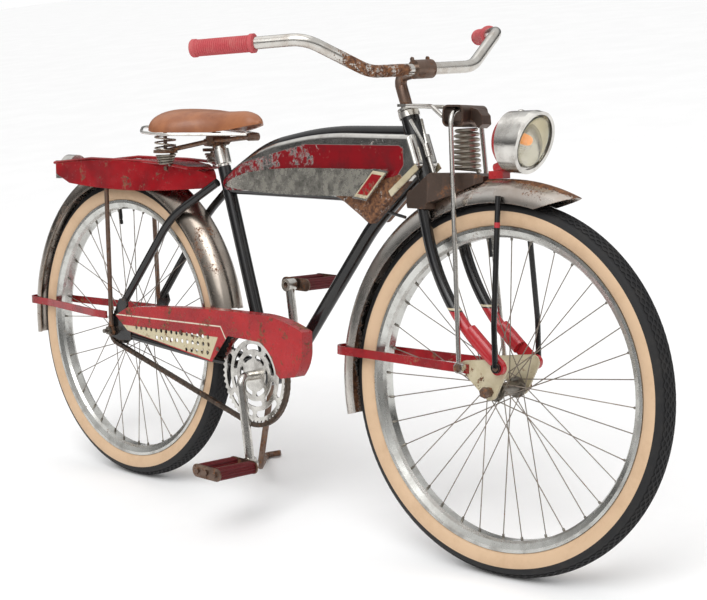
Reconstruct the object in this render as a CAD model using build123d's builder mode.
"""Balloon tire bicycle with a springer fork, tank, rack, lamp and chain guard.

The bicycle is modelled upright: origin on the floor under the rear axle, +X forward, +Y to the
rider's left, +Z up. The last section leans it on its stand and writes each piece.
"""
import os
from math import acos, atan2, ceil, cos, degrees, hypot, pi, radians, sin, sqrt, tan

from build123d import *

os.makedirs("parts", exist_ok=True)

# driving dimensions, in millimetres and degrees
wheelbase = 1085.0
tyre_diameter = 662.0
tyre_width = 54.0
head_angle = 68.5
fork_rake = 41.5
head_tube_length = 126.0
head_tube_low = 683.0
seat_angle = 71.7
seat_tube_length = 435.0
crank_ahead = 460.0
crank_height = 284.0
main_tube = 27.0
stay_tube = 17.0
tank_width = 60.0
fender_width = 72.0
chain_pitch = 12.7
ring_teeth = 50
cog_teeth = 16
chain_line = 42.0
crank_length = 173.0
spoke_count = 36
lean = 8.5
rest_steer = 5.3
bar_steer = -7.4

# clearances
joint_gap = 0.2
running_gap = 0.06
moving_gap = 6.0

axle_height = tyre_diameter / 2
rear_hub = Vector(0, 0, axle_height)
front_hub = Vector(wheelbase, 0, axle_height)
crank_centre = Vector(crank_ahead, 0, crank_height)

# steering axis, in the plane of the frame
steer_up = Vector(-cos(radians(head_angle)), 0, sin(radians(head_angle)))
steer_ahead = Vector(sin(radians(head_angle)), 0, cos(radians(head_angle)))
axis_foot = front_hub - steer_ahead * fork_rake


def on_steer_axis(height):
    """Point of the steering axis at a height above the floor."""
    return axis_foot + steer_up * ((height - axis_foot.Z) / steer_up.Z)


head_low = on_steer_axis(head_tube_low)
head_high = head_low + steer_up * head_tube_length

# seat tube axis
seat_up = Vector(-cos(radians(seat_angle)), 0, sin(radians(seat_angle)))
seat_high = crank_centre + seat_up * seat_tube_length


def bent_route(points, radii):
    """Straight runs through the points, joined by tangent arcs, as curves of the open BuildLine."""
    here = points[0]
    for before, corner, after, radius in zip(points, points[1:], points[2:], radii):
        back = (before - corner).normalized()
        ahead = (after - corner).normalized()
        half = radians(back.get_angle(ahead)) / 2
        reach = radius / tan(half)
        start = corner + back * reach
        end = corner + ahead * reach
        centre_way = (back + ahead).normalized()
        middle = corner + centre_way * (radius / sin(half) - radius)
        Line(here, start)
        ThreePointArc(start, middle, end)
        here = end
    Line(here, points[-1])


def side_view(points):
    """Points of the middle plane as flat points of a sketch on Plane.XZ."""
    return [Vector(point.X, point.Z) for point in points]


def bent_tube(points, radii, outer):
    """Round bar swept along a bent route."""
    with BuildLine() as route:
        bent_route(points, radii)
    with BuildSketch(Plane(points[0], z_dir=points[1] - points[0])) as section:
        Circle(outer)
    return sweep(section.sketch, route.line, mode=Mode.PRIVATE)


def rod_between(start, end, outer):
    """Round bar between two points."""
    with BuildSketch(Plane(start, z_dir=end - start)) as section:
        Circle(outer)
    return extrude(section.sketch, amount=(end - start).length, mode=Mode.PRIVATE)


def across(x, z, y):
    """Plane square to the axles, looking along +Y, at a point."""
    return Plane((x, y, z), x_dir=(1, 0, 0), z_dir=(0, 1, 0))


def round_across(x, z, low, high, outer):
    """Round bar along Y from low to high."""
    return rod_between(Vector(x, low, z), Vector(x, high, z), outer)


def mirrored(shape):
    """The same shape on the other side of the bicycle."""
    return mirror(shape, about=Plane.XZ, mode=Mode.PRIVATE)


def wheel_plane(hub, angle):
    """Plane through a wheel's axle line, with X outward at an angle above forward and Y along the axle."""
    out = Vector(cos(radians(angle)), 0, sin(radians(angle)))
    return Plane(hub, x_dir=out, z_dir=Vector(-out.Z, 0, out.X))


pieces = {}


def keep(name, *shapes, turned=0.0):
    """Collect a named piece and the steering angle at which it stands."""
    with BuildPart() as piece:
        for shape in shapes:
            add(shape)
    piece.part.label = name
    pieces[name] = (piece, turned)
    return piece


# wheels

rim_edge_radius = 285.0
rim_width = 40.0
rim_wall = 2.0
rim_bed_radius = 265.0
bead_radius = rim_edge_radius - 5.0
spoke_radius = 1.0
flange_thick = 2.4
flange_lip = 3.0


def make_tyre(hub):
    """Tyre in flats round its section, one corner of which rests on the floor when it leans."""
    centre = tyre_diameter / 2 - tyre_width / 2
    bead = rim_edge_radius + joint_gap
    bead_angle = degrees(acos((bead - centre) / (tyre_width / 2)))
    angles = [lean, 37, 74, bead_angle]
    points = [
        (centre + tyre_width / 2 * cos(radians(angle)), tyre_width / 2 * sin(radians(angle)))
        for angle in [-angle for angle in angles[::-1]] + angles
    ]
    with BuildPart() as tyre:
        with BuildSketch(wheel_plane(hub, 0)):
            with BuildLine():
                Polyline(*points, close=True)
            make_face()
        revolve(axis=Axis(hub, (0, 1, 0)))
    return tyre.part


def make_rim(hub):
    half = rim_width / 2
    step = 6.0
    well = 9.0
    with BuildPart() as rim:
        with BuildSketch(wheel_plane(hub, 0)):
            with BuildLine():
                Polyline(
                    (rim_edge_radius, -half),
                    (rim_edge_radius - step, -half),
                    (rim_bed_radius + 4, -well - step),
                    (rim_bed_radius, -well),
                    (rim_bed_radius, well),
                    (rim_bed_radius + 4, well + step),
                    (rim_edge_radius - step, half),
                    (rim_edge_radius, half),
                    (rim_edge_radius, half - 2 * rim_wall),
                    (rim_edge_radius - step, half - 2 * rim_wall),
                    (rim_bed_radius + 4 + rim_wall, well + step - rim_wall),
                    (rim_bed_radius + rim_wall, well - rim_wall / 2),
                    (rim_bed_radius + rim_wall, -well + rim_wall / 2),
                    (rim_bed_radius + 4 + rim_wall, -well - step + rim_wall),
                    (rim_edge_radius - step, -half + 2 * rim_wall),
                    (rim_edge_radius, -half + 2 * rim_wall),
                    close=True,
                )
            make_face()
        revolve(axis=Axis(hub, (0, 1, 0)))
    return rim.part


def make_hub(hub, barrel, flange_radius, flange_reach, end_radius, end_reach, bore):
    """Barrel with two spoke flanges and its bearing ends, round an axle bore."""
    thick = flange_thick
    with BuildPart() as shell:
        with BuildSketch(wheel_plane(hub, 0)):
            with BuildLine():
                Polyline(
                    (bore, -end_reach),
                    (end_radius, -end_reach),
                    (end_radius, -flange_reach - thick / 2),
                    (flange_radius, -flange_reach - thick / 2),
                    (flange_radius, -flange_reach + thick / 2),
                    (barrel, -flange_reach + thick / 2),
                    (barrel, flange_reach - thick / 2),
                    (flange_radius, flange_reach - thick / 2),
                    (flange_radius, flange_reach + thick / 2),
                    (end_radius, flange_reach + thick / 2),
                    (end_radius, end_reach),
                    (bore, end_reach),
                    close=True,
                )
            make_face()
        revolve(axis=Axis(hub, (0, 1, 0)))
    return shell.part


def make_spokes(hub, flange_radius, flange_reach):
    """Straight spokes, laced three cross, half on each flange, inside and outside it by turns."""
    hole_radius = flange_radius - flange_lip
    per_flange = spoke_count // 2
    pitch = 360 / per_flange
    cross = 3 * pitch
    spokes = []
    for side in (-1, 1):
        for index in range(per_flange):
            outward = index % 2 == 0
            start_angle = radians(index * pitch + (pitch / 2 if side > 0 else 0))
            end_angle = start_angle + radians(cross if outward else -cross)
            offset = flange_thick / 2 + spoke_radius + (0.9 if outward else 0.15)
            start_reach = flange_reach + (offset if outward else -offset)
            end_radius = rim_bed_radius - joint_gap
            start = hub + Vector(
                hole_radius * cos(start_angle), side * start_reach, hole_radius * sin(start_angle)
            )
            end = hub + Vector(
                end_radius * cos(end_angle), side * 4.0, end_radius * sin(end_angle)
            )
            with BuildSketch(Plane(start, z_dir=end - start)) as section:
                RegularPolygon(spoke_radius, 6)
            spokes.append(extrude(section.sketch, amount=(end - start).length, mode=Mode.PRIVATE))
    return spokes


front_flange = 19.0
front_flange_reach = 31.0
front_axle_radius = 4.7
rear_flange = 33.0
rear_flange_reach = 29.0
rear_axle_radius = 4.7
front_hub_reach = 40.0
rear_hub_reach = 38.0

keep("front_tyre", make_tyre(front_hub), turned=rest_steer)
keep("front_rim", make_rim(front_hub), turned=rest_steer)
keep(
    "front_hub",
    make_hub(front_hub, 12.0, front_flange, front_flange_reach, 14.0, front_hub_reach,
             front_axle_radius + running_gap),
    turned=rest_steer,
)
keep("front_spokes", *make_spokes(front_hub, front_flange, front_flange_reach), turned=rest_steer)
keep("rear_tyre", make_tyre(rear_hub))
keep("rear_rim", make_rim(rear_hub))
keep(
    "rear_hub",
    make_hub(rear_hub, 24.0, rear_flange, rear_flange_reach, 20.0, rear_hub_reach - 4,
             rear_axle_radius + running_gap),
)
keep("rear_spokes", *make_spokes(rear_hub, rear_flange, rear_flange_reach))

# frame tubes

head_tube_radius = 17.0
steerer_radius = 12.7
bracket_radius = 26.0
bracket_width = 70.0
crank_axle_radius = 10.0
dropout_reach = 57.0
dropout_thick = 5.0
cup_radius = 19.5
cup_height = 11.0


def clear_of_head(shape):
    return shape - rod_between(
        head_low - steer_up * cup_height,
        head_high + steer_up * cup_height,
        head_tube_radius + joint_gap,
    )


with BuildPart() as head_tube:
    add(rod_between(head_low, head_high, head_tube_radius))
    add(
        rod_between(head_low - steer_up, head_high + steer_up, steerer_radius + running_gap),
        mode=Mode.SUBTRACT,
    )
keep("head_tube", head_tube.part)

with BuildPart() as cups:
    for base, way in ((head_low, -1), (head_high, 1)):
        near = base + steer_up * (way * joint_gap)
        far = base + steer_up * (way * cup_height)
        add(rod_between(near, far, cup_radius))
        add(
            rod_between(near - steer_up * way, far + steer_up * way, steerer_radius + running_gap),
            mode=Mode.SUBTRACT,
        )
keep("headset_cups", cups.part)

with BuildPart() as seat_tube:
    add(rod_between(crank_centre, seat_high, main_tube / 2))
    add(round_across(crank_ahead, crank_height, -bracket_width / 2, bracket_width / 2, bracket_radius))
    add(
        round_across(crank_ahead, crank_height, -bracket_width, bracket_width,
                     crank_axle_radius + running_gap),
        mode=Mode.SUBTRACT,
    )
keep("seat_tube", seat_tube.part)


def clear_of_seat(shape, gap=joint_gap):
    tube = rod_between(crank_centre, seat_high + seat_up * 60, main_tube / 2 + gap)
    shell = round_across(crank_ahead, crank_height, -bracket_width, bracket_width,
                         bracket_radius + gap)
    return shape - tube - shell


down_points = [
    crank_centre,
    Vector(556, 0, 345),
    Vector(762, 0, 600),
    on_steer_axis(712),
]
down_tube_shape = bent_tube(down_points, [170, 420], main_tube / 2)
keep("down_tube", clear_of_seat(clear_of_head(down_tube_shape)))

top_tube_radius = main_tube / 2 - 1
top_points = [
    Vector(333, 0, 668),
    Vector(470, 0, 742),
    Vector(640, 0, 772),
    on_steer_axis(773),
]
top_tube_shape = bent_tube(top_points, [330, 900], top_tube_radius)
keep("top_tube", clear_of_seat(clear_of_head(top_tube_shape)))

tank_bar_radius = 9.5
bar_start = crank_centre + seat_up * ((652 - crank_height) / seat_up.Z)
bar_points = [bar_start, Vector(690, 0, 652), Vector(760, 0, 608)]
tank_bar_shape = bent_tube(bar_points, [70], tank_bar_radius)
down_tube_cut = bent_tube(down_points, [170, 420], main_tube / 2 + joint_gap)
keep("tank_bar", clear_of_seat(tank_bar_shape) - down_tube_cut)

stay_low = Vector(38, dropout_reach - 6, axle_height + 70)
stay_bend = Vector(205, 48, 592)
stay_high = Vector(328, main_tube / 2 + stay_tube / 2 + 1, 666)
left_stay = bent_tube([stay_low, stay_bend, stay_high], [260], stay_tube / 2)
keep("seat_stays", left_stay, mirrored(left_stay))

chain_stay_radius = 8.0
stay_route = [
    Vector(crank_ahead - 18, 21, crank_height + 3),
    Vector(358, 25, crank_height + 14),
    Vector(306, 41, crank_height + 19),
    Vector(60, dropout_reach - 6, axle_height - 8),
]
with BuildPart() as rear_ends:
    for side in (-1, 1):
        points = [Vector(point.X, side * point.Y, point.Z) for point in stay_route]
        add(bent_tube(points, [60, 90], chain_stay_radius))
        with BuildSketch(across(0, axle_height, side * dropout_reach - dropout_thick / 2)):
            with BuildLine():
                Polyline((-14, 12), (-10, -14), (26, -72), (48, -76), (54, -60), (30, -24), (66, -2),
                         (66, 16), (20, 20), close=True)
            make_face()
            Circle(rear_axle_radius + joint_gap, mode=Mode.SUBTRACT)
        extrude(amount=dropout_thick)
    add(round_across(382, crank_height + 12, -20, 20, 7))
rear_ends_shape = clear_of_seat(rear_ends.part)
stays_cut = bent_tube([stay_low, stay_bend, stay_high], [260], stay_tube / 2 + joint_gap)
rear_ends_shape = rear_ends_shape - stays_cut - mirrored(stays_cut)
keep("chain_stays", rear_ends_shape)

# tank

tank_points = side_view(
    [
        top_points[0] + Vector(3, 0, 0),
        top_points[1],
        top_points[2],
        Vector(880, 0, 771),
        Vector(903, 0, 713),
        Vector(778, 0, 603),
        bar_points[1],
        bar_start + Vector(6, 0, 0),
    ]
)
tank_rear_width = 32.0
pontoon_depth = 9.0


def tank_plan(half, rear_half):
    """Tall block with the tank's plan, full width ahead and drawn in towards the seat tube."""
    with BuildPart() as block:
        with BuildSketch(Plane.XY.offset(560)):
            with BuildLine() as side_line:
                Line((300, 0), (300, -rear_half))
                Line((300, -rear_half), (340, -rear_half))
                Bezier((340, -rear_half), (400, -half), (450, -half), (540, -half))
                Line((540, -half), (920, -half))
                Line((920, -half), (920, 0))
                mirror(side_line.line, about=Plane.XZ)
            make_face()
        extrude(amount=260)
    return block.part


with BuildPart() as tank:
    with BuildSketch(Plane.XZ) as tank_outline:
        with BuildLine():
            bent_route(tank_points[:4], [330, 900])
            bent_route(tank_points[3:6], [14])
            bent_route(tank_points[5:8], [70])
            Line(tank_points[7], tank_points[0])
        make_face()
        fillet(tank_outline.vertices().sort_by(Axis.Y)[0], 10)
        fillet(tank_outline.vertices().sort_by(Axis.X)[:2], 5)
    extrude(amount=tank_width / 2, both=True)
    fillet(tank.faces().filter_by(Axis.Y).edges(), 9)
    add(tank_plan(tank_width / 2 + joint_gap, tank_rear_width / 2), mode=Mode.INTERSECT)
tank_shape = tank.part
tank_shape -= bent_tube(top_points, [330, 900], top_tube_radius + joint_gap)
tank_shape -= down_tube_cut
tank_shape -= bent_tube(bar_points, [70], tank_bar_radius + joint_gap)
keep("tank", clear_of_seat(clear_of_head(tank_shape), gap=1.0))

with BuildPart() as pontoons:
    with BuildSketch(Plane.XZ) as pontoon_outline:
        with BuildLine():
            Spline((346, 661), (440, 690), (540, 701), (735, 706), (826, 708))
            Line((826, 708), (782, 656))
            Spline((782, 656), (596, 652), (440, 654), (346, 661))
        make_face()
        fillet(pontoon_outline.vertices().sort_by(Axis.X)[1:], 4)
    extrude(amount=tank_width, both=True)
    add(tank_plan(tank_width / 2 + pontoon_depth, tank_rear_width / 2 + 2), mode=Mode.INTERSECT)
    add(tank_plan(tank_width / 2 + 2 * joint_gap, tank_rear_width / 2 + joint_gap),
        mode=Mode.SUBTRACT)
keep("tank_pontoons", pontoons.part)

# head tube ornament

trim_low = 52.0
trim_high = 118.0
trim_front = head_tube_radius + 2.5


def on_head(along, ahead, y):
    """Point by the head tube: up its axis from its low end, ahead of the axis, and to the side."""
    return head_low + steer_up * along + steer_ahead * ahead + Vector(0, y, 0)


with BuildPart() as head_trim:
    for side in (-1, 1):
        add(rod_between(on_head(trim_low, trim_front, 0), on_head(trim_high, 12, side * 14), 3.4))
    add(rod_between(on_head(trim_low - 8, trim_front, 0), on_head(trim_low + 16, trim_front, 0), 7))
    add(rod_between(on_head(14, trim_front - 1, 0), on_head(trim_low, trim_front - 1, 0), 4))
keep("head_trim", clear_of_head(head_trim.part))

# fenders

fender_crown = 366.0
fender_edge = 325.0
fender_wall = 1.6


def make_fender(hub, start, end):
    """Deep rounded fender between two angles above forward."""
    half = fender_width / 2
    with BuildPart() as fender:
        with BuildSketch(wheel_plane(hub, start)):
            with BuildLine():
                Line((fender_edge, -half), (fender_crown - half, -half))
                ThreePointArc(
                    (fender_crown - half, -half), (fender_crown, 0), (fender_crown - half, half)
                )
                Line((fender_crown - half, half), (fender_edge, half))
                Line((fender_edge, half), (fender_edge, half - fender_wall))
                Line((fender_edge, half - fender_wall), (fender_crown - half, half - fender_wall))
                ThreePointArc(
                    (fender_crown - half, half - fender_wall),
                    (fender_crown - fender_wall, 0),
                    (fender_crown - half, -half + fender_wall),
                )
                Line((fender_crown - half, -half + fender_wall), (fender_edge, -half + fender_wall))
                Line((fender_edge, -half + fender_wall), (fender_edge, -half))
            make_face()
        revolve(axis=Axis(hub, (0, -1, 0)), revolution_arc=end - start)
    return fender.part


rear_fender_span = (12.0, 187.0)
front_fender_span = (67.0, 194.0)
keep("rear_fender", make_fender(rear_hub, *rear_fender_span))
tip_angle = 67.4
tip_side_angle = 78.5


def beside_wheel(hub, radius, angle):
    """Flat point for a sketch on Plane.XZ, at a radius and an angle above forward."""
    return hub.X + radius * cos(radians(angle)), hub.Z + radius * sin(radians(angle))


with BuildPart() as tip_cut:
    with BuildSketch(Plane.XZ):
        with BuildLine():
            Polyline(
                beside_wheel(front_hub, fender_crown + 2, tip_angle),
                beside_wheel(front_hub, fender_edge - 3, tip_side_angle),
                beside_wheel(front_hub, fender_edge - 60, 50),
                beside_wheel(front_hub, fender_crown + 60, 50),
                close=True,
            )
        make_face()
    extrude(amount=fender_width, both=True)
keep("front_fender", make_fender(front_hub, *front_fender_span) - tip_cut.part, turned=rest_steer)


def bent_bar(points, radii, thick, tall):
    """Flat bar on edge, swept along a bent level route."""
    with BuildLine() as route:
        bent_route(points, radii)
    with BuildSketch(Plane(points[0], x_dir=(0, 0, 1), z_dir=points[1] - points[0])) as section:
        Rectangle(tall, thick)
    return sweep(section.sketch, route.line, mode=Mode.PRIVATE)


brace_thick = 4.0
brace_tall = 16.0
brace_height = 366.0
brace_back = 376.0


def make_loop_brace(hub, ahead, reach):
    """Flat bar that runs back from both axle ends and round the fender."""
    side = fender_width / 2 + joint_gap + brace_thick / 2
    points = [
        Vector(hub.X + ahead, -reach, brace_height),
        Vector(hub.X + ahead - 45, -reach, brace_height),
        Vector(hub.X - brace_back + 90, -side, brace_height),
        Vector(hub.X - brace_back, -side, brace_height),
        Vector(hub.X - brace_back, side, brace_height),
        Vector(hub.X - brace_back + 90, side, brace_height),
        Vector(hub.X + ahead - 45, reach, brace_height),
        Vector(hub.X + ahead, reach, brace_height),
    ]
    return bent_bar(points, [100, 60, 30, 30, 60, 100], brace_thick, brace_tall)


rack_rear = -205.0
rack_front = 298.0
rack_width = 140.0
rack_wall = 2.4
strut_reach = 64.0
strut_radius = 5.0
strut_low = Vector(4, strut_reach + 2, axle_height + 10)
strut_high = Vector(-8, rack_width / 2 - rack_wall - joint_gap - strut_radius, 662)


def on_strut(height):
    """Point of the left strut's axis at a height."""
    return strut_low + (strut_high - strut_low) * ((height - strut_low.Z) / (strut_high.Z - strut_low.Z))


with BuildPart() as strut:
    add(rod_between(strut_low, strut_high, strut_radius))
    add(round_across(0, axle_height, strut_reach - 3, strut_reach + 3, 12))
    add(round_across(0, axle_height, 0, 90, rear_axle_radius + joint_gap), mode=Mode.SUBTRACT)
keep("rack_struts", strut.part, mirrored(strut.part))
rear_brace_reach = on_strut(brace_height).Y + strut_radius + joint_gap + brace_thick / 2
keep("rear_loop_brace", make_loop_brace(rear_hub, -4, rear_brace_reach))

# rack


def rack_block(inset):
    """Rounded tray upside down: its plan cut by its side view, both drawn in by an inset."""
    half = rack_width / 2 - inset
    with BuildPart() as block:
        with BuildSketch(Plane.XY.offset(600)):
            with BuildLine():
                right = Polyline((rack_rear + inset, 0), (rack_rear + inset, -half + 14),
                                 (rack_rear + inset + 14, -half), (60, -half))
                curve = ThreePointArc((60, -half), (211, -half + 24), (rack_front - inset, 0))
                mirror(about=Plane.XZ)
            make_face()
        extrude(amount=120)
        with BuildSketch(Plane.XZ):
            with BuildLine():
                Line((rack_rear - 10, 680 - inset), (rack_rear - 10, 690 - inset))
                ThreePointArc((rack_rear - 10, 690 - inset), (-60, 703 - inset), (200, 699 - inset))
                ThreePointArc((200, 699 - inset), (262, 689 - inset), (rack_front + 8, 664 - inset))
                Line((rack_front + 8, 664 - inset), (rack_front + 8, 654 - inset))
                ThreePointArc((rack_front + 8, 654 - inset), (40, 643 - inset), (-140, 651 - inset))
                Line((-140, 651 - inset), (rack_rear - 10, 680 - inset))
            make_face()
        extrude(amount=rack_width, both=True, mode=Mode.INTERSECT)
    return block.part


rack_shape = rack_block(0) - rack_block(rack_wall)
keep("rack", rack_shape)

tail_start = rack_rear - joint_gap
tail_low = 658.0
tail_height = 688.0
with BuildPart() as tail_light:
    with BuildSketch(Plane.XY.offset(tail_low)):
        with Locations((tail_start - 14, 0)):
            RectangleRounded(28, 96, 11)
    extrude(amount=40)
    add(rod_between(Vector(tail_start, 0, tail_height), Vector(tail_start - 38, 0, tail_height), 22))
    add(rod_between(Vector(tail_start - 38, 0, tail_height),
                    Vector(tail_start - 46, 0, tail_height), 18))
keep("tail_light", tail_light.part)

# chain line

ring_radius = chain_pitch / (2 * sin(pi / ring_teeth))
cog_radius = chain_pitch / (2 * sin(pi / cog_teeth))
link_height = 8.6
link_waist = 6.6
chain_width = 8.0
tooth_gap = 0.6
ring_thick = 3.4


def toothed_sketch(teeth, pitch_radius):
    """Outline of a sprocket whose tips stay inside the chain's loop."""
    tip = pitch_radius - link_height / 2 - tooth_gap
    root = tip - 4.0
    points = []
    for tooth in range(teeth):
        for share, radius in ((-0.36, root), (-0.12, tip), (0.12, tip), (0.36, root)):
            angle = 2 * pi * (tooth + share) / teeth
            points.append((radius * cos(angle), radius * sin(angle)))
    with BuildSketch() as blank:
        with BuildLine():
            Polyline(*points, close=True)
        make_face()
    return blank.sketch


def chain_loop():
    """Closed loop round both sprockets, with a waist between each two pins."""
    span = crank_centre - rear_hub
    reach = hypot(span.X, span.Z)
    tilt = atan2(span.Z, span.X)
    lean_in = acos((ring_radius - cog_radius) / reach)
    ring_start = tilt + pi - lean_in
    ring_turn = 2 * pi - 2 * lean_in
    straight = sqrt(reach**2 - (ring_radius - cog_radius) ** 2)
    total = 2 * straight + ring_radius * (2 * pi - 2 * lean_in) + cog_radius * 2 * lean_in
    links = round(total / chain_pitch)
    pitch = total / links

    def at(distance, side):
        """Point of the loop at a distance along it, moved sideways out of the loop."""
        distance %= total
        if distance < ring_radius * ring_turn:
            angle = ring_start - distance / ring_radius
            centre, radius = crank_centre, ring_radius
        elif distance < ring_radius * ring_turn + straight:
            angle = ring_start - ring_turn
            along = distance - ring_radius * ring_turn
            way = Vector(sin(angle), 0, -cos(angle))
            start = crank_centre + Vector(cos(angle), 0, sin(angle)) * (ring_radius + side)
            return start + way * along
        elif distance < total - straight:
            along = distance - ring_radius * ring_turn - straight
            angle = ring_start - ring_turn - along / cog_radius
            centre, radius = rear_hub, cog_radius
        else:
            along = distance - (total - straight)
            angle = ring_start
            way = Vector(sin(angle), 0, -cos(angle))
            start = rear_hub + Vector(cos(angle), 0, sin(angle)) * (cog_radius + side)
            return start + way * along
        return centre + Vector(cos(angle), 0, sin(angle)) * (radius + side)

    outer = []
    inner = []
    for link in range(links):
        for share, height in ((0.0, link_waist), (0.28, link_height), (0.72, link_height)):
            outer.append(at((link + share) * pitch, height / 2))
            inner.append(at((link + share) * pitch, -link_height / 2))
    return outer, inner


outer_points, inner_points = chain_loop()
with BuildPart() as chain:
    with BuildSketch(Plane.XZ.offset(chain_line - chain_width / 2)):
        with BuildLine():
            Polyline(*side_view(outer_points), close=True)
        make_face()
        with BuildLine():
            Polyline(*side_view(inner_points), close=True)
        make_face(mode=Mode.SUBTRACT)
    extrude(amount=chain_width)
keep("chain", chain.part)

slot_rows = ((79, 13, 44, 0), (58, 11, 38, 30), (38, 10, 30, 0))
slots_a_row = 6
with BuildSketch() as ring_face:
    add(toothed_sketch(ring_teeth, ring_radius))
    for slot_radius, slot_width, slot_arc, first in slot_rows:
        for slot in range(slots_a_row):
            start = first + slot * 360 / slots_a_row - slot_arc / 2
            curve = CenterArc((0, 0), slot_radius, start, slot_arc, mode=Mode.PRIVATE)
            SlotArc(curve, slot_width, mode=Mode.SUBTRACT)
    Circle(crank_axle_radius + joint_gap, mode=Mode.SUBTRACT)
with BuildPart() as chainring:
    with BuildSketch(Plane.XZ.offset(chain_line - ring_thick / 2)):
        with Locations((crank_ahead, crank_height)):
            add(ring_face.sketch)
    extrude(amount=ring_thick)
keep("chainring", chainring.part)

with BuildPart() as rear_cog:
    with BuildSketch(Plane.XZ.offset(chain_line - 1.5)):
        with Locations((0, axle_height)):
            add(toothed_sketch(cog_teeth, cog_radius))
            Circle(rear_axle_radius + running_gap, mode=Mode.SUBTRACT)
    extrude(amount=3)
    with BuildSketch(Plane.XZ.offset(rear_hub_reach - 4 + 0.5)):
        with Locations((0, axle_height)):
            Circle(17)
            Circle(rear_axle_radius + running_gap, mode=Mode.SUBTRACT)
    extrude(amount=12)
keep("rear_cog", rear_cog.part)

# chain guard

guard_face = 63.0
guard_back = 36.0
guard_wall = 1.6
with BuildSketch(Plane.XZ.offset(guard_back)) as guard_outline:
    with BuildLine():
        Line((16, 366), (60, 387))
        ThreePointArc((60, 387), (250, 404), (480, 412))
        ThreePointArc((480, 412), (560, 408), (627, 390))
        Line((627, 390), (628, 352))
        ThreePointArc((628, 352), (620, 322), (604, 300))
        Line((604, 300), (562, 292))
        Line((562, 292), (550, 300))
        ThreePointArc((550, 300), (530, 338), (500, 358))
        Line((500, 358), (402, 360))
        Line((402, 360), (350, 301))
        Line((350, 301), (60, 336))
        Line((60, 336), (16, 366))
    make_face()
with BuildPart() as chain_guard:
    add(extrude(guard_outline.sketch, amount=guard_face - guard_back, mode=Mode.PRIVATE))
    hollow = extrude(
        guard_outline.sketch.moved(Location((-guard_wall, 0, -guard_wall))),
        amount=guard_face - guard_back - guard_wall,
        mode=Mode.PRIVATE,
    )
    add(hollow, mode=Mode.SUBTRACT)
    add(
        round_across(crank_ahead, crank_height, -guard_face + guard_wall, -guard_back + 1,
                     ring_radius + link_height / 2 + 4),
        mode=Mode.SUBTRACT,
    )
    for left, right, low, high in ((-10, 70, 330, 400), (-10, 540, 280, 357)):
        with BuildSketch(Plane.XZ.offset(guard_back - 1)):
            with Locations(((left + right) / 2, (low + high) / 2)):
                Rectangle(right - left, high - low)
        extrude(amount=guard_face - guard_wall - guard_back + 1, mode=Mode.SUBTRACT)
    add(round_across(300, 312, -guard_face + guard_wall / 2, -40, 5))
    with BuildSketch(Plane.XZ.offset(guard_face + 1)):
        for row_start, count, height in ((92, 15, 346), (164, 11, 332), (266, 5, 317)):
            for hole in range(count):
                with Locations((row_start + 17.6 * hole, height + 0.02 * 17.6 * hole)):
                    Circle(4.4)
    extrude(amount=-guard_wall - 2, mode=Mode.SUBTRACT)
guard_stay_cut = bent_tube(
    [Vector(point.X, -point.Y, point.Z) for point in stay_route], [60, 90],
    chain_stay_radius + joint_gap,
)
keep("chain_guard", chain_guard.part - guard_stay_cut)

# crank and pedals

arm_inner = 69.0
arm_radius = 9.5
arm_swing = 9.0
pedal_pin_radius = 6.0
eye_half = 10.5
down_arm = Vector(sin(radians(arm_swing)), 0, -cos(radians(arm_swing)))
arm_reach = arm_inner + arm_radius
crank_route = [
    crank_centre + Vector(0, -arm_reach, 0) + down_arm * crank_length,
    crank_centre + Vector(0, -arm_reach, 0),
    crank_centre + Vector(0, arm_reach, 0),
    crank_centre + Vector(0, arm_reach, 0) - down_arm * crank_length,
]
with BuildPart() as crank:
    add(bent_tube(crank_route, [16, 16], arm_radius))
    add(round_across(crank_ahead, crank_height, -58, 58, crank_axle_radius))
    for side in (-1, 1):
        eye = crank_centre + Vector(0, side * arm_reach, 0) - down_arm * (side * crank_length)
        add(round_across(eye.X, eye.Z, eye.Y - eye_half, eye.Y + eye_half, 13))
        add(
            round_across(eye.X, eye.Z, eye.Y - 12, eye.Y + 12, pedal_pin_radius + running_gap),
            mode=Mode.SUBTRACT,
        )
keep("crank", crank.part)

pedal_length = 96.0
for name, side in (("right", -1), ("left", 1)):
    eye = crank_centre + Vector(0, side * arm_reach, 0) - down_arm * (side * crank_length)
    inner = arm_reach + eye_half + moving_gap
    near = side * (arm_reach - 7)
    far = side * (inner + pedal_length - 2)
    low, high = sorted((near, far))
    ends = sorted((side * inner, side * (inner + 3)))
    caps = sorted((side * (inner + pedal_length - 3), side * (inner + pedal_length)))
    with BuildPart() as pedal:
        add(round_across(eye.X, eye.Z, low, high, pedal_pin_radius))
        for plate_low, plate_high in (ends, caps):
            with BuildSketch(across(eye.X, eye.Z, plate_low)):
                SlotOverall(86, 26)
            extrude(amount=plate_high - plate_low)
    keep(f"pedal_{name}", pedal.part)
    with BuildPart() as blocks:
        span = sorted((side * (inner + 3.2), side * (inner + pedal_length - 3.2)))
        with BuildSketch(across(eye.X, eye.Z, span[0])):
            with Locations((-27, 0), (27, 0)):
                RectangleRounded(26, 24, 5)
        extrude(amount=span[1] - span[0])
    keep(f"pedal_{name}_blocks", blocks.part)

# stand

world_up = Vector(0, -sin(radians(lean)), cos(radians(lean)))
tyre_centre = tyre_diameter / 2 - tyre_width / 2
floor_level = rear_hub.dot(world_up) - tyre_centre * cos(radians(lean)) - tyre_width / 2
leg_radius = 6.5
foot_x = 200.0
foot_y = 210.0
foot_forward = 26.0
foot_outward = 20.0
knee_ahead = 160.0
knee_y = 55.0
knee_rise = 47.0
stand_pivot = Vector(408, 42, 262)
folded_leg = Vector(-0.97, 0.20, 0.05).normalized()


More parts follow.
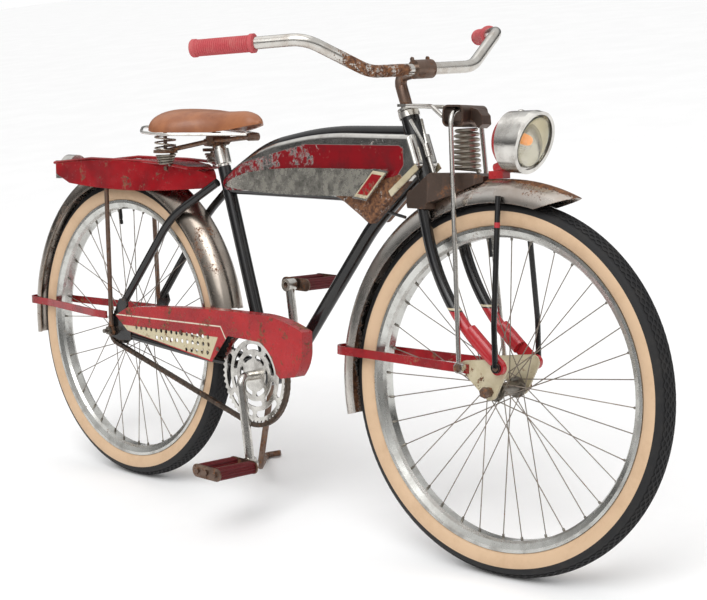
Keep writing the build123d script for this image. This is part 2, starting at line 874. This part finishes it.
def on_floor(x, y, height):
    """Point over the floor that the leaning bicycle stands on."""
    z = (floor_level + height + y * sin(radians(lean))) / cos(radians(lean))
    return Vector(x, y, z)


foot = on_floor(foot_x, foot_y, leg_radius)
open_leg = (foot - stand_pivot).normalized()
stand_axis = folded_leg.cross(open_leg).normalized()
if stand_axis.Y < 0:
    stand_axis = -stand_axis
stand_elbow = stand_pivot + stand_axis * 10
# the leg keeps inside the turning pedal, and goes out to its foot below it
stand_knee = on_floor(foot_x + knee_ahead, knee_y, leg_radius) + Vector(0, 0, knee_rise)
stand_route = [stand_pivot - stand_axis * 24, stand_elbow, stand_knee, foot]
stand_toe = on_floor(foot_x + foot_forward, foot_y + foot_outward, leg_radius + 3)
with BuildPart() as kickstand:
    add(bent_tube([*stand_route, stand_toe], [11, 30, 12], leg_radius))
keep("kickstand", kickstand.part)

with BuildPart() as stand_bracket:
    add(rod_between(stand_pivot - stand_axis * 22, stand_pivot - stand_axis * 8, 11.0))
    with BuildSketch(across(stand_pivot.X, stand_pivot.Z, stand_pivot.Y - 26)):
        with Locations((-6, -11)):
            Rectangle(18, 30)
    extrude(amount=16)
    add(
        rod_between(
            stand_pivot - stand_axis * 40, stand_pivot + stand_axis * 20, leg_radius + running_gap
        ),
        mode=Mode.SUBTRACT,
    )
chain_stay_cut = bent_tube(stay_route, [60, 90], chain_stay_radius + joint_gap)
bracket_shape = clear_of_seat(stand_bracket.part) - chain_stay_cut
keep("stand_bracket", bracket_shape)

# saddle

post_radius = 12.0
post_top = 738.0


def on_seat_axis(height):
    """Point of the seat tube's axis at a height."""
    return crank_centre + seat_up * ((height - crank_height) / seat_up.Z)


with BuildPart() as seat_post:
    add(rod_between(seat_high + seat_up * joint_gap, on_seat_axis(post_top), post_radius))
    add(rod_between(seat_high + seat_up * 6, seat_high + seat_up * 36, 17.0))
    add(round_across(300, 722, -11, 11, 9))
keep("seat_post", seat_post.part)

saddle_under = 768.0
with BuildPart() as saddle_top:
    with BuildSketch(Plane.XY.offset(750)):
        with BuildLine():
            right = Spline(
                (158, 0), (162, -45), (183, -86), (215, -106), (250, -108), (285, -89), (320, -60),
                (355, -41), (395, -30), (427, -19), (438, 0),
                tangents=((0, -1), (0, 1)),
            )
            mirror(right, about=Plane.XZ)
        make_face()
    extrude(amount=80)
    with BuildSketch(Plane.XZ):
        with BuildLine():
            Spline((156, 778), (172, 802), (205, 817), (263, 815), (334, 810), (397, 812),
                   (425, 804), (440, 787))
            Polyline((440, 787), (440, saddle_under), (156, saddle_under), (156, 778))
        make_face()
    extrude(amount=150, both=True, mode=Mode.INTERSECT)
keep("saddle_top", saddle_top.part)

spring_x = 211.0
nose_radius = 8.0
nose_height = saddle_under - joint_gap - nose_radius
spring_y = 65.0
with BuildPart() as saddle_frame:
    for side in (-1, 1):
        add(rod_between(Vector(300, side * 18, 750), Vector(spring_x, side * spring_y, 729), 5))
        add(rod_between(Vector(300, side * 18, 750), Vector(416, side * 8, nose_height), 4.5))
        add(rod_between(Vector(spring_x, side * spring_y, 725),
                        Vector(spring_x, side * spring_y, 731), 25))
        add(rod_between(Vector(spring_x, side * spring_y, 731),
                        Vector(spring_x, side * spring_y, saddle_under - joint_gap), 4))
    add(round_across(305, 753, -24, 24, 12))
    add(round_across(416, nose_height, -12, 12, nose_radius))
    add(rod_between(on_seat_axis(post_top + joint_gap), on_seat_axis(756), 14))
keep("saddle_frame", saddle_frame.part)


def coil_spring(base, height, low_radius, high_radius, turns, wire):
    """Coil spring of six-sided wire between two levels, tapering as it rises."""
    rise = height - 2 * wire
    slope = degrees(atan2(high_radius - low_radius, rise))
    start = base + Vector(0, 0, wire)
    path = Helix(rise / turns, rise, low_radius, center=start, cone_angle=slope, mode=Mode.PRIVATE)
    with BuildSketch(Plane(path @ 0, z_dir=path % 0)) as section:
        RegularPolygon(wire, 6)
    return sweep(section.sketch, path, is_frenet=True, mode=Mode.PRIVATE)


beehives = [
    coil_spring(Vector(spring_x, side * spring_y, 697), 27.5, 11, 20, 4, 2.6)
    for side in (-1, 1)
]
keep("saddle_springs", *beehives)

loop_radius = 3.0
loop_height = saddle_under - joint_gap - loop_radius
loop_half = [
    Vector(414, 14.9, loop_height),
    Vector(360, 52, loop_height),
    Vector(262, 117, loop_height),
    Vector(196, 116, loop_height + 4),
    Vector(136, 66, loop_height + 14),
]
loop_route = [Vector(point.X, -point.Y, point.Z) for point in loop_half] + loop_half[::-1]
saddle_loop = bent_tube(loop_route, [60, 60, 50, 50, 50, 50, 60, 60], loop_radius)
keep("saddle_loop", saddle_loop)

# fork

leg_reach = 48.0
leg_foot_reach = 57.0
fork_leg_radius = 10.5
spindle_height = 376.0
knuckle = Vector(1107, leg_foot_reach, spindle_height)
leg_top = Vector(920, leg_reach, 672)
leg_bend = Vector(942, leg_reach, 592)


def fork_leg(outer):
    """Leg that leaves the crown straight and sweeps forward in one arc."""
    way = (leg_bend - leg_top).normalized()
    with BuildLine() as route:
        Line(leg_top, leg_bend)
        TangentArc(leg_bend, Vector(knuckle.X, leg_reach, knuckle.Z), tangent=way)
    with BuildSketch(Plane(leg_top, z_dir=way)) as section:
        Circle(outer)
    return sweep(section.sketch, route.line, mode=Mode.PRIVATE)


def leg_boot(start, width):
    """Oval sleeve that widens the leg's low end, from a point of it down to the knuckle."""
    low = Vector(knuckle.X, leg_reach, knuckle.Z)
    way = (low - start).normalized()
    with BuildPart() as boot:
        with BuildSketch(Plane(start, x_dir=(0, 1, 0), z_dir=way)):
            Circle(fork_leg_radius - 0.3)
        with BuildSketch(Plane(low, x_dir=(0, 1, 0), z_dir=way)):
            Ellipse(fork_leg_radius - 0.2, width / 2)
        loft()
    return boot.part


boot_start = Vector(1040, leg_reach, 436)
boot_width = 27.0
plate_inner = 44.0
plate_thick = 5.0
knuckle_low = leg_reach - 0.1
knuckle_high = leg_reach + fork_leg_radius + 1
left_leg = fork_leg(fork_leg_radius)
knuckle_block = round_across(knuckle.X, knuckle.Z, plate_inner + plate_thick + joint_gap,
                             knuckle_high, 13)
left_leg = left_leg + leg_boot(boot_start, boot_width)
left_leg_shape = (left_leg + knuckle_block) - rod_between(
    Vector(knuckle.X, 0, knuckle.Z), Vector(knuckle.X, plate_inner + plate_thick + joint_gap, knuckle.Z), 40
)
keep("fork_legs", left_leg_shape, mirrored(left_leg_shape), turned=rest_steer)

truss_foot = Vector(1032, 68, 369)
truss_pin_radius = 5.0
with BuildPart() as rocker:
    with BuildSketch(across(0, 0, plate_inner)) as rocker_outline:
        with Locations((truss_foot.X, -truss_foot.Z)):
            Circle(11)
        with Locations((knuckle.X, -knuckle.Z)):
            Circle(14)
        with Locations((front_hub.X, -front_hub.Z)):
            Circle(15)
        make_hull()
        with Locations((front_hub.X, -front_hub.Z)):
            Circle(front_axle_radius + joint_gap, mode=Mode.SUBTRACT)
    extrude(amount=plate_thick)
    add(round_across(truss_foot.X, truss_foot.Z, plate_inner, truss_foot.Y + 5, truss_pin_radius))
keep("rocker_plates", rocker.part, mirrored(rocker.part), turned=rest_steer)

with BuildPart() as front_axle:
    add(round_across(front_hub.X, front_hub.Z, -68, 68, front_axle_radius))
    for side in (-1, 1):
        for low, high, size in ((plate_inner + plate_thick + joint_gap, 58, 9),
                                (front_hub_reach + 0.4, plate_inner - joint_gap, 8)):
            near, far = sorted((side * low, side * high))
            with BuildSketch(across(front_hub.X, front_hub.Z, near)):
                RegularPolygon(size, 6)
            extrude(amount=far - near)
keep("front_axle", front_axle.part, turned=rest_steer)

truss_radius = 4.3
truss_shoulder = Vector(980, 43, 815)
truss_route = [
    Vector(truss_foot.X, -truss_foot.Y, truss_foot.Z),
    Vector(truss_shoulder.X, -truss_shoulder.Y, truss_shoulder.Z),
    truss_shoulder,
    truss_foot,
]
with BuildPart() as truss_rod:
    add(bent_tube(truss_route, [26, 26], truss_radius))
    for side in (-1, 1):
        low, high = sorted((side * (truss_foot.Y - 4), side * (truss_foot.Y + 4)))
        add(round_across(truss_foot.X, truss_foot.Z, low, high, 9.5))
        add(round_across(truss_foot.X, truss_foot.Z, low - 8, high + 8,
                         truss_pin_radius + running_gap), mode=Mode.SUBTRACT)
keep("truss_rod", truss_rod.part, turned=rest_steer)


def fender_block(hub, grow):
    """Solid that a fender's outer face encloses, grown by a gap."""
    half = fender_width / 2 + grow
    top = fender_crown + grow
    with BuildPart() as block:
        with BuildSketch(wheel_plane(hub, 40)):
            with BuildLine():
                Line((200, -half), (top - half, -half))
                ThreePointArc((top - half, -half), (top, 0), (top - half, half))
                Line((top - half, half), (200, half))
                Line((200, half), (200, -half))
            make_face()
        revolve(axis=Axis(hub, (0, -1, 0)), revolution_arc=170)
    return block.part


crown_reach = 62.0
perch_x = 985.0
perch_z = 704.0
spring_height = 80.0
with BuildPart() as fork_crown:
    with BuildSketch(Plane.XZ):
        with BuildLine():
            Line((904, 640), (899, 652))
            ThreePointArc((899, 652), (902, 666), (914, 673))
            Line((914, 673), (952, perch_z))
            Line((952, perch_z), (1020, perch_z))
            Line((1020, perch_z), (1037, perch_z - 4))
            Line((1037, perch_z - 4), (1037, perch_z - 14))
            Line((1037, perch_z - 14), (945, 650))
            Line((945, 650), (945, 640))
            Line((945, 640), (904, 640))
        make_face()
    extrude(amount=crown_reach, both=True)
    with BuildSketch(Plane.XY.offset(600)) as crown_plan:
        with BuildLine() as crown_side:
            Polyline((890, 0), (890, -crown_reach + 12), (902, -crown_reach), (948, -crown_reach),
                     (982, -35), (1026, -30), (1038, -18), (1038, 0))
            mirror(crown_side.line, about=Plane.XZ)
        make_face()
        fillet(crown_plan.vertices().filter_by(lambda corner: abs(corner.Y) > 20), 7)
    extrude(amount=160, mode=Mode.INTERSECT)
    add(
        rod_between(head_low - steer_up * (cup_height + joint_gap), head_low + steer_up * 30, 30),
        mode=Mode.SUBTRACT,
    )
    add(rod_between(on_steer_axis(668), head_high + steer_up * (cup_height + 7), steerer_radius))
crown_shape = fork_crown.part - fender_block(front_hub, joint_gap)
crown_shape -= fork_leg(fork_leg_radius + joint_gap)
crown_shape -= mirrored(fork_leg(fork_leg_radius + joint_gap))
keep("fork_crown", crown_shape, turned=rest_steer)

keep(
    "fork_spring",
    coil_spring(Vector(perch_x, 0, perch_z + joint_gap), spring_height, 25, 19, 8, 3.1),
    turned=rest_steer,
)

yoke_wall = 3.5
yoke_length = 46.0
yoke_low = perch_z + 2 * joint_gap + spring_height
yoke_high = truss_shoulder.Z + truss_radius + joint_gap + yoke_wall
with BuildPart() as spring_yoke:
    with BuildSketch(Plane.XZ):
        with Locations((truss_shoulder.X, (yoke_low + yoke_high) / 2)):
            RectangleRounded(yoke_length, yoke_high - yoke_low, 12)
            RectangleRounded(yoke_length - 2 * yoke_wall, yoke_high - yoke_low - 2 * yoke_wall, 8.5,
                             mode=Mode.SUBTRACT)
    extrude(amount=36, both=True)
    with BuildSketch(Plane.XZ):
        with BuildLine():
            Polyline((1001, 819), (1016, 815), (1026, 805), (1028, 790), (1019, 783), (1010, 794),
                     (1001, 798), close=True)
        make_face()
    extrude(amount=13, both=True)
keep("spring_yoke", spring_yoke.part, turned=rest_steer)

plate_base = head_high + steer_up * (cup_height + 2)
with BuildPart() as headset_plate:
    add(rod_between(plate_base, plate_base + steer_up * 5, 19))
    with BuildSketch(Plane.XY.offset(819)):
        with Locations((878, 0)):
            RectangleRounded(66, 66, 12)
    extrude(amount=5)
    for side in (-1, 1):
        add(
            bent_tube(
                [Vector(872, side * 30, 821), Vector(930, side * 31, 820),
                 Vector(954.2, side * 32, 803)],
                [12],
                4.0,
            )
        )
    add(
        rod_between(plate_base - steer_up * 20, plate_base + steer_up * 30,
                    steerer_radius + joint_gap),
        mode=Mode.SUBTRACT,
    )
keep("headset_plate", headset_plate.part, turned=rest_steer)

brace_rod_radius = 5.0
brace_foot_reach = knuckle_high + joint_gap + brace_rod_radius + 0.5
with BuildPart() as front_brace:
    add(
        bent_tube(
            [
                Vector(knuckle.X, brace_foot_reach, knuckle.Z),
                Vector(1102, brace_foot_reach, 450),
                Vector(1086, fender_width / 2 + joint_gap + brace_rod_radius, 668),
            ],
            [120],
            brace_rod_radius,
        )
    )
    add(round_across(knuckle.X, knuckle.Z, knuckle_high + joint_gap, knuckle_high + 6, 9))
keep("front_braces", front_brace.part, mirrored(front_brace.part), turned=rest_steer)
front_brace_reach = plate_inner + plate_thick + joint_gap + brace_thick / 2
front_loop = make_loop_brace(front_hub, truss_foot.X - wheelbase + 8, front_brace_reach)
front_loop -= round_across(truss_foot.X, truss_foot.Z, -80, 80, truss_pin_radius + joint_gap)
keep("front_loop_brace", front_loop, turned=rest_steer)

# stem and bar

bar_radius = 11.1
clamp_point = Vector(895, 0, 887)
with BuildPart() as stem:
    add(
        bent_tube(
            [plate_base + steer_up * 5.6, on_steer_axis(874), clamp_point - Vector(6, 0, 2)],
            [16],
            11.0,
        )
    )
    add(round_across(clamp_point.X, clamp_point.Z, -20, 20, 17))
    add(round_across(clamp_point.X, clamp_point.Z, -30, 30, bar_radius + joint_gap),
        mode=Mode.SUBTRACT)
keep("stem", stem.part, turned=bar_steer)

bar_bend = Vector(895, 118, 887)
bar_sweep = Vector(850, 222, 948)
grip_start = Vector(774, 270, 946)
bar_end = Vector(670, 336, 940)
bar_right = Vector(bar_end.X, -bar_end.Y, bar_end.Z)
bar_route = [
    bar_right,
    Vector(bar_sweep.X, -bar_sweep.Y, bar_sweep.Z),
    Vector(bar_bend.X, -bar_bend.Y, bar_bend.Z),
    bar_bend,
    bar_sweep,
    bar_end,
]
keep("handlebar", bent_tube(bar_route, [62, 58, 58, 62], bar_radius), turned=bar_steer)

grip_way = (bar_end - bar_sweep).normalized()
with BuildPart() as left_grip:
    add(rod_between(bar_end - grip_way * 121, bar_end + grip_way * 4, 15))
    add(rod_between(bar_end - grip_way * 125, bar_end + grip_way * 0.2, bar_radius + joint_gap),
        mode=Mode.SUBTRACT)
keep("grips", left_grip.part, mirrored(left_grip.part), turned=bar_steer)

# lamp

lamp_back = Vector(1052, 0, 760)
lamp_radius = 51.0
lamp_shoulder = 30.0
lamp_depth = 100.0
lamp_foot_angle = 94.2
bowl_steps = 8
lamp_foot_tall = 14.0
with BuildPart() as lamp_shell:
    with BuildSketch(Plane.XZ):
        with BuildLine():
            bowl = ThreePointArc(
                (lamp_back.X, lamp_back.Z),
                (lamp_back.X + 9, lamp_back.Z + 31),
                (lamp_back.X + lamp_shoulder, lamp_back.Z + lamp_radius),
                mode=Mode.PRIVATE,
            )
            Polyline(*[bowl @ (step / bowl_steps) for step in range(bowl_steps + 1)])
            Line((lamp_back.X + lamp_shoulder, lamp_back.Z + lamp_radius),
                 (lamp_back.X + lamp_shoulder, lamp_back.Z))
            Line((lamp_back.X + lamp_shoulder, lamp_back.Z), (lamp_back.X, lamp_back.Z))
        make_face()
    revolve(axis=Axis(lamp_back, (1, 0, 0)))
    add(rod_between(Vector(1052, 0, 712), Vector(1076, 0, 722), 11))
    with BuildSketch(wheel_plane(front_hub, lamp_foot_angle)):
        with Locations((fender_crown + joint_gap + lamp_foot_tall / 2, 0)):
            Rectangle(lamp_foot_tall, 22)
    extrude(amount=15, both=True)
keep("lamp_shell", lamp_shell.part, turned=rest_steer)

with BuildPart() as lamp_bezel:
    with BuildSketch(Plane.XZ):
        with BuildLine():
            Polyline(
                (lamp_back.X + lamp_shoulder + joint_gap, lamp_back.Z),
                (lamp_back.X + lamp_shoulder + joint_gap, lamp_back.Z + lamp_radius + 2),
                (lamp_back.X + 80, lamp_back.Z + lamp_radius + 4),
                (lamp_back.X + lamp_depth, lamp_back.Z + lamp_radius),
                (lamp_back.X + lamp_depth, lamp_back.Z + lamp_radius - 4),
                (lamp_back.X + 60, lamp_back.Z + lamp_radius - 4),
                (lamp_back.X + 60, lamp_back.Z),
                close=True,
            )
        make_face()
    revolve(axis=Axis(lamp_back, (1, 0, 0)))
    split(
        bisect_by=Plane((lamp_back.X + 78, 0, lamp_back.Z), x_dir=(0, 1, 0),
                        z_dir=(cos(radians(16)), 0, -sin(radians(16)))),
        keep=Keep.BOTTOM,
    )
keep("lamp_bezel", lamp_bezel.part, turned=rest_steer)

with BuildPart() as lamp_lens:
    add(rod_between(Vector(lamp_back.X + 60.3, 0, lamp_back.Z),
                    Vector(lamp_back.X + 64, 0, lamp_back.Z), lamp_radius - 4.5))
keep("lamp_lens", lamp_lens.part, turned=rest_steer)

rear_axle_reach = 84.0
with BuildPart() as rear_axle:
    add(round_across(0, axle_height, -rear_axle_reach, rear_axle_reach, rear_axle_radius))
    for side in (-1, 1):
        near, far = sorted((side * (strut_reach + 3 + joint_gap), side * 74))
        with BuildSketch(across(0, axle_height, near)):
            RegularPolygon(9.5, 6)
        extrude(amount=far - near)
keep("rear_axle", rear_axle.part)

# the bicycle leans on its stand, front end turned


def steered(angle):
    """Turn about the steering axis."""
    return (
        Location(head_low)
        * Location(Plane((0, 0, 0), z_dir=steer_up))
        * Location((0, 0, 0), (0, 0, angle))
        * Location(Plane((0, 0, 0), z_dir=steer_up)).inverse()
        * Location(head_low).inverse()
    )


def tyre_low(hub, axle_way):
    """Lowest level that a tyre reaches over the leaning bicycle's floor."""
    slope = axle_way.dot(world_up)
    return hub.dot(world_up) - tyre_centre * sqrt(1 - slope**2) - tyre_width / 2


turn = steered(rest_steer)
steered_hub = (turn * Location(front_hub)).position
steered_side = (turn * Location(front_hub + Vector(0, 1, 0))).position - steered_hub
front_level = tyre_low(steered_hub, steered_side)
nose_pitch = degrees((front_level - floor_level) / wheelbase)
upright = Location((0, 0, 0), (0, nose_pitch, 0))
leaning = Location((0, 0, 0), (-lean, 0, 0)) * upright

posed = {}
for name, (piece, turned) in pieces.items():
    posed[name] = leaning * steered(turned) * piece.part if turned else leaning * piece.part
boxes = [shape.bounding_box() for shape in posed.values()]
lowest = [min(tuple(box.min)[axis] for box in boxes) for axis in range(3)]
highest = [max(tuple(box.max)[axis] for box in boxes) for axis in range(3)]
centred = Location((-(lowest[0] + highest[0]) / 2, -(lowest[1] + highest[1]) / 2, -lowest[2]))

for name, shape in posed.items():
    placed = centred * shape
    placed.label = name
    export_step(placed, f"parts/{name}.step")
